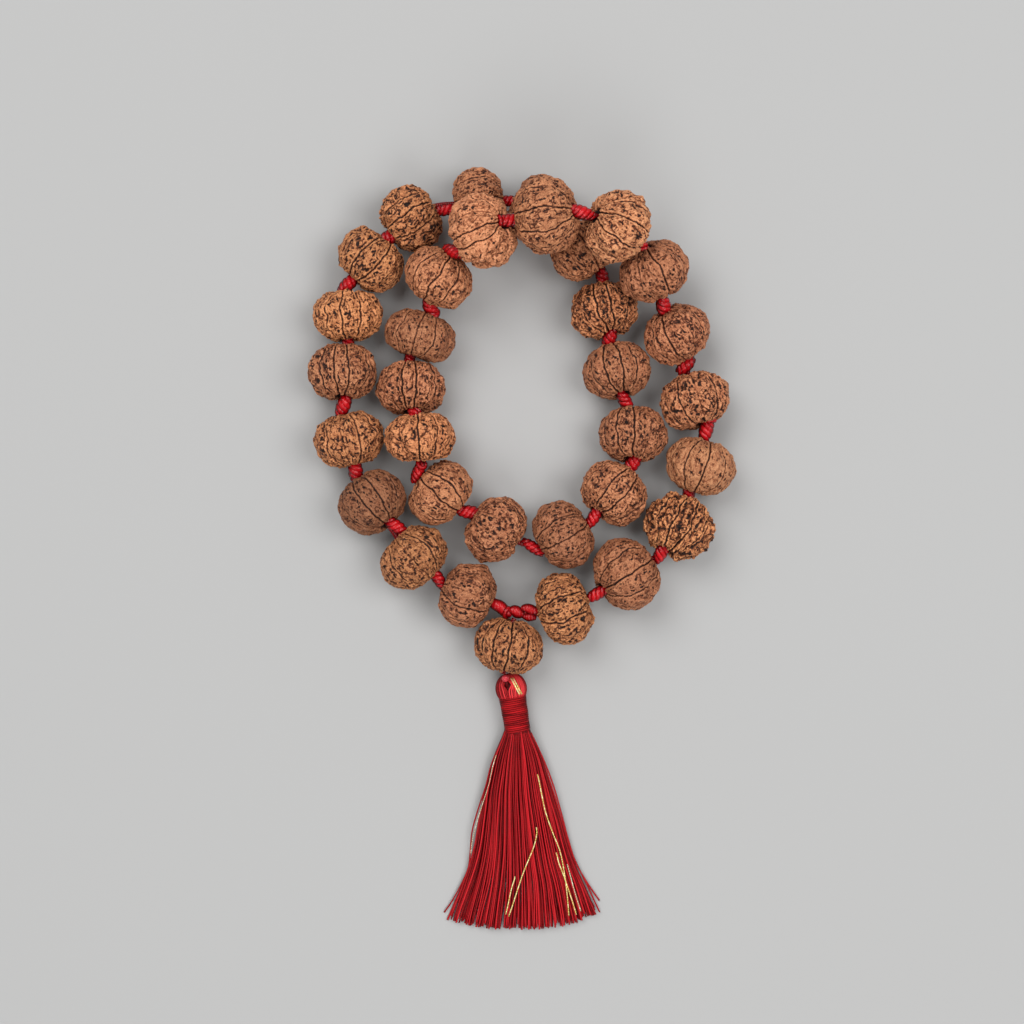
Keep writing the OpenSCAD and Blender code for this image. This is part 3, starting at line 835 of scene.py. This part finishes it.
KNOB_SHIFT = np.array([1.0, -0.5, 0.0])
parts = Parts()
for k in range(3):
    a = np.linspace(0, 2 * math.pi, 25)
    tilt = k * math.pi / 3
    ring = np.c_[0.72 * np.cos(a), 0.72 * np.sin(a) * math.cos(tilt),
                 0.72 * np.sin(a) * math.sin(tilt)]
    parts.tube(TIE + KNOB_SHIFT + ring, 0.6, 12, tone=0.55)
tie = parts.build("tie_knot_wound")
tie.data.materials.append(KNOB_RED)
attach(tie, "tassel_tie")
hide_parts("tie_knot")


# ---------------------------------------------------------------- tassel

HEAD = np.array([-3.8, -51.1, 5.4])
NECK_END = np.array([-1.2, -68.0, 5.2])
TASSEL = unit(NECK_END - HEAD)
TSIDE = unit(np.cross(TASSEL, (0, 0, 1.0)))
TUP = np.cross(TSIDE, TASSEL)


def tassel_point(along, sideways, height):
    return HEAD + TASSEL * along + TSIDE * sideways + TUP * height


rng = np.random.default_rng(20)

# Loop that the tassel hangs by.
parts = Parts()
loop_at = np.array([-5.6, -48.5, 9.3])
a = np.linspace(0, 2 * math.pi, 33)
heading = math.atan2(TASSEL[1], TASSEL[0])
along = np.array([math.cos(heading), math.sin(heading), 0])
ring = np.cos(a)[:, None] * along + np.sin(a)[:, None] * np.array([0, 0, 1.0])
parts.tube(loop_at + 1.6 * ring, 0.55, 10, tone=0.12)
loop = parts.build("tassel_loop_cord")
loop.data.materials.append(SILK_RED)
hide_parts("tassel_loop")

# Head: threads folded over the loop, with an eye where they part.
parts = Parts()
ball = 5.6
lat = np.linspace(-math.pi / 2 + 0.05, math.pi / 2 - 0.05, 16)
# Dark core and neck under the threads: painted shade that shows in the gaps and in the eye.
core = HEAD + TASSEL * (np.sin(lat) * (ball - 0.35))[:, None]
parts.tube(core, np.cos(lat) * (ball - 0.45), 24, tone=0.0)
parts.tube([tassel_point(n, 0, 0) for n in (0, 8, 17)], 4.0, 20, tone=0.2)
strands = 44
for k in range(strands):
    phi = 2 * math.pi * k / strands + rng.uniform(-0.02, 0.02)
    e = np.array([math.cos(phi), math.sin(phi)])
    bend = []
    for t in np.linspace(0.0, 1.0, 13):
        angle = math.pi * (0.09 + 0.55 * t)
        rad = ball * math.sin(angle) ** 0.85
        at, sx, sz = -ball * math.cos(angle), e[0] * rad, e[1] * rad
        if sz > 0:
            part = 1.25 * math.exp(-((at + 1.8) / 1.3) ** 2) * math.exp(-((sx - 0.9) / 1.8) ** 2)
            sx += math.copysign(part, sx - 0.9)
        bend.append(tassel_point(at, sx, sz))
    bend.append(tassel_point(4.4, e[0] * 4.2, e[1] * 4.2))
    bend.append(tassel_point(8.5, e[0] * 4.1, e[1] * 4.1))
    # Painted shade: threads on the head's left and right sides are darker than those across its
    # top; the normal term is random tone.
    parts.tube(smooth_route(bend, 2), 0.33 + rng.uniform(-0.06, 0.03), 8, painted_crest_shading=0.5,
               tone=float(np.clip(0.84 - 0.8 * abs(e[0]) ** 3 + rng.normal(0, 0.28), 0.1, 0.98)))
head = parts.build("tassel_head_threads")
head.data.materials.append(HEAD_RED)
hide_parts("tassel_head")

# Binding: one fine thread wound round the neck.
parts = Parts()
turns, start_at, long = 19, 2.2, 13.8
u = np.linspace(0, 1, turns * 32)
a = 2 * math.pi * turns * u
wide = 4.86 - 0.42 * u + 0.05 * np.sin(a * 0.13)
path = np.array([tassel_point(start_at + long * t, math.cos(b) * w, -math.sin(b) * w)
                 for t, b, w in zip(u, a, wide)])
shade = np.clip(0.52 + 0.8 * noise(np.c_[a / 6.3 * 2.6, a * 0, a * 0], 61), 0.06, 0.94)
# Painted shade on the binding's left and right sides, over random tone along the thread.
shade = np.clip(shade - 0.5 * np.abs(np.cos(a)) ** 5, 0.02, 1)
pts, quads, uv = tube_arrays(path, 0.36, 8)
ring = pts - HEAD - np.outer((pts - HEAD) @ TASSEL, TASSEL)
out = np.linalg.norm(ring, axis=1) - np.concatenate([np.repeat(wide, 9), wide[[0, -1]]])
shade = np.concatenate([np.repeat(shade, 9), shade[[0, -1]]])
# Painted light on the outer face of each turn and painted shade between turns.
parts.add(pts, quads, uv, np.clip(shade + 0.85 * (out / 0.36 - 0.62), 0, 1))
# A dark core under the turns: painted shade in the gaps.
parts.tube([tassel_point(start_at + 0.1, 0, 0), tassel_point(start_at + long - 0.1, 0, 0)],
           [4.6, 4.2], 32, tone=0.0)
binding = parts.build("tassel_binding_thread")
binding.data.materials.append(BIND_RED)
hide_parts("tassel_binding")

# Skirt: free threads that fan out from the neck and lie in layers.

def lay_height(y):
    return np.interp(-y, [66, 70, 80, 110, 150], [9.6, 9.2, 7.8, 5.1, 3.1])


def skirt_place(f, y, flare):
    """Across the fan at y, for f from -1 at its left edge to 1 at its right."""
    centre = np.interp(-y, [66, 90, 110, 125, 140], [-1.5, -1.2, 0.1, 0.8, 0.6])
    half = np.interp(-y, [66, 68, 72, 78, 89, 100, 110, 117, 125, 135, 142],
                     [4.4, 4.9, 7.1, 9.4, 12.6, 15.0, 16.9, 18.6, 21.4, 24.8, 27.0])
    return centre + f * half + flare * np.interp(-y, [95, 110, 125, 137], [0, 0.8, 3.0, 4.6])


def skirt_thread(parts, f, layer, end_y, wob, curl, radius, tone):
    ys = np.linspace(-66.0, end_y, 19)
    flare = math.copysign(max(abs(f) - 0.8, 0) / 0.2, f) * (0.35 if f < 0 else 0.8)
    gathered = (math.floor((f + 1) * 8.999) + 0.5) / 9 - 1
    pts = []
    for j, y in enumerate(ys):
        t = j / 18.0
        x = skirt_place(f + (gathered - f) * 0.75 * max(1 - 2.2 * t, 0), y, flare)
        x = x + 0.34 * math.sin(2.6 * t * math.pi + wob[1] * 4) * t
        x += curl * t ** 3
        top = lay_height(y) - 0.4
        arch = math.sqrt(max(1 - (f * 0.95) ** 2, 0.03))
        low = 0.4 + max(1 - 2.2 * t, 0) * (top / 2 - 0.4) * (1 - arch)
        z = low + (top * (0.35 + 0.65 * arch) - low) * layer
        z += 0.14 * math.sin(4 * t + wob[2] * 5)
        pts.append([x, y, float(np.clip(z, 0.4, top))])
    line = smooth_route(pts, 2)
    # Painted shade: each thread is darker where it comes out from under the binding.
    tones = np.clip(tone - 0.3 * np.linspace(1, 0, len(line)) ** 1.5, 0.03, 1)
    parts.tube(line, radius, 6, tone=tones, painted_crest_shading=0.6)


parts = Parts()
# The top layer lies nearly in order. Looser ones fill in below it with darker tones, painted shade
# under the top layer, and the lowest is lighter again, because it shows when the tassel lifts. Each
# is height, count, tone, looseness.
for layer, count, tone, loose in ((1.0, 38, 0.60, 0.35), (0.85, 48, 0.28, 0.5),
                                  (0.5, 60, 0.10, 0.8), (0.1, 64, 0.50, 1.0)):
    for k in range(count):
        f = -1 + 2 * (k + 0.5) / count
        f += rng.normal(0, 0.55 / count)
        f = float(np.clip(f, -1, 1))
        end_y = -141.8 + (abs(f) ** 3) * (3.2 if f < 0 else 6.0) + abs(rng.normal(0, 1.1))
        skirt_thread(parts, f, layer - rng.uniform(0, 0.12), end_y, rng.normal(0, 0.5, 4),
                     rng.normal(0, 1.0) * loose * (0.5 + abs(f)), 0.33 + rng.uniform(-0.05, 0.04),
                     float(np.clip(tone + rng.normal(0, 0.26), 0.03, 0.98)))
for k in range(18):
    f = 0.76 + 0.22 * rng.uniform()
    skirt_thread(parts, f, 0.1 + 0.045 * k, -136.0 + rng.normal(0, 1.0), rng.normal(0, 0.5, 4),
                 rng.normal(0, 0.7), 0.32, float(np.clip(0.3 + rng.normal(0, 0.16), 0.03, 0.9)))
# Strays that have slipped out of the fan on each side.
STRAYS = [
    [[-6.0, -67.6, 5.2], [-11.1, -79.2, 4.6], [-13.4, -88, 4.0], [-16.2, -96.5, 3.4],
     [-18.5, -105, 2.8],
     [-19.1, -111.7, 2.4], [-19.9, -118.6, 2.0], [-22.6, -125, 1.5],
     [-26.3, -131.7, 1.0], [-29, -135.6, 0.6]],
    [[-5.8, -67.6, 4.6], [-10.6, -79, 4.0], [-13.6, -92, 3.2], [-16.4, -106, 2.4],
     [-18.6, -118, 1.6],
     [-22.0, -127, 1.1], [-26.6, -136.8, 0.5]],
    [[-5.6, -67.6, 4.0], [-10.4, -80, 3.6], [-14.0, -96, 2.8], [-17.4, -112, 2.0],
     [-20.6, -124, 1.4],
     [-24.4, -137.6, 0.5]],
    [[3.6, -67.6, 5.2], [7.8, -76.6, 4.6], [11.5, -86, 4.0], [14.6, -96.5, 3.2],
     [17.5, -107.5, 2.6],
     [20.4, -116.5, 2.0], [24.1, -123.3, 1.4], [29.4, -131.2, 0.6]],
    [[3.4, -67.6, 4.4], [8.2, -79, 3.8], [12.6, -92, 3.0], [16.6, -106, 2.2], [20.0, -117, 1.6],
     [24.0, -127, 1.1], [27.4, -133.6, 0.5]],
]
for k, route in enumerate(STRAYS):
    parts.tube(smooth_route(route, 5), 0.29, 6, tone=0.5 + 0.06 * k, painted_crest_shading=0.25)
skirt = parts.build("tassel_skirt_threads")
skirt.data.materials.append(SILK_RED)
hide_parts("tassel_skirt")

# Metallic threads: over the head and down the skirt.
GOLD_ROUTES = [
    [[6.0, -83, 7.7], [6.3, -84.5, 7.9], [7.2, -89, 7.3], [9.0, -97, 6.6], [11.6, -104.4, 5.9],
     [14.4, -111.7, 5.3], [15.8, -118.6, 4.8], [16.8, -126, 4.3], [17.8, -136.4, 3.6]],
    [[5.6, -103, 5.8], [5.7, -105, 6.0], [4.7, -110, 5.6], [3.1, -114.4, 5.4], [1, -119.6, 5.1],
     [-1.6, -127, 4.7], [-3.7, -133.3, 4.3], [-4.8, -136.6, 4.0]],
    [[-2.4, -121.5, 5.0], [-2.9, -123.5, 4.9], [-4.2, -128.5, 4.5], [-5.9, -135.8, 4.0]],
    [[13.0, -112.6, 4.9], [13.4, -114, 5.2], [13.9, -115.8, 5.1], [15.7, -120.6, 4.7],
     [18.2, -128.4, 4.1],
     [20.6, -136.0, 3.4]],
]
PALE_ROUTES = [
    [[-9.4, -76, 5.8], [-10.8, -80.5, 5.4], [-12.2, -87.1, 4.8], [-14.9, -95.5, 4.1],
     [-17.1, -103, 3.4],
     [-18.5, -109, 2.9], [-19.0, -113.3, 2.5]],
    [[17.2, -117, 4.2], [18.0, -120, 4.1], [20.3, -128.4, 3.5], [22.3, -134.8, 2.9]],
]
parts = Parts()
for route in GOLD_ROUTES:
    line = smooth_route(route, 8)
    line[:, 0] += 0.1 * np.sin(np.linspace(0, 9, len(line)))
    parts.tube(line, 0.22, 8)
for first, last in ((0.5, 2.8), (1.3, 3.6)):
    bend = []
    for t in np.linspace(0.0, 1.0, 10):
        angle = math.pi * (0.24 + 0.39 * t)
        rad = (ball + 0.25) * math.sin(angle) ** 0.85
        side = min(first + (last - first) * t, rad * 0.97)
        bend.append(tassel_point(-ball * math.cos(angle), -side,
                                 math.sqrt(rad * rad - side * side)))
    parts.tube(smooth_route(bend, 3), 0.3, 8)
pale = Parts()
for k, route in enumerate(PALE_ROUTES):
    pale.tube(smooth_route(route, 8), 0.2 if k else 0.15, 8)
pale = pale.build("tassel_gold_twist_pale")
pale.data.materials.append(GOLD_PALE)
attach(pale, "tassel")
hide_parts("tassel_gold_threads")
gold = parts.build("tassel_gold_twist")
gold.data.materials.append(GOLD)
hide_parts("tassel_gold_threads")
for o in (loop, head, binding, skirt, gold):
    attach(o, "tassel")


# ---------------------------------------------------------------- seeds

for i, spec in enumerate(SEEDS):
    name = "bead_%02d" % (i + 1)
    o = make_seed(name, spec, JOINTS[name + "_spin"], 100 + 31 * i)
    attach(o, name)
    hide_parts(name)
o = make_seed("guru_bead", GURU, JOINTS["guru_bead_spin"], 4001)
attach(o, "guru_bead")
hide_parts("guru_bead")


# ---------------------------------------------------------------- floor and light

bpy.ops.mesh.primitive_plane_add(size=4, location=(0, 0, 0))
floor = bpy.context.object
floor.name = "floor"
s = Nodes("floor")
s.bsdf.inputs["Base Color"].default_value = (0.43, 0.43, 0.427, 1)
s.bsdf.inputs["Roughness"].default_value = 0.9
s.bsdf.inputs["Specular IOR Level"].default_value = 0.1
floor.data.materials.append(s.m)

world = bpy.data.worlds.new("world")
bpy.context.scene.world = world
world.use_nodes = True
world.node_tree.nodes["Background"].inputs[0].default_value = (1.0, 1.0, 1.0, 1)
world.node_tree.nodes["Background"].inputs[1].default_value = 0.37


def area(name, at, size, power):
    """A soft round light aimed at the middle of the floor."""
    data = bpy.data.lights.new(name, "AREA")
    data.shape = "DISK"
    data.size = size
    data.energy = power
    o = bpy.data.objects.new(name, data)
    bpy.context.scene.collection.objects.link(o)
    o.location = at
    o.rotation_euler = (-Vector(at)).to_track_quat("-Z", "Y").to_euler()


area("key", (-0.7, 0.9, 1.75), 1.5, 24)
area("fill", (0.95, 0.15, 1.75), 1.3, 18)
area("front", (0.0, -1.2, 1.4), 1.1, 9.5)
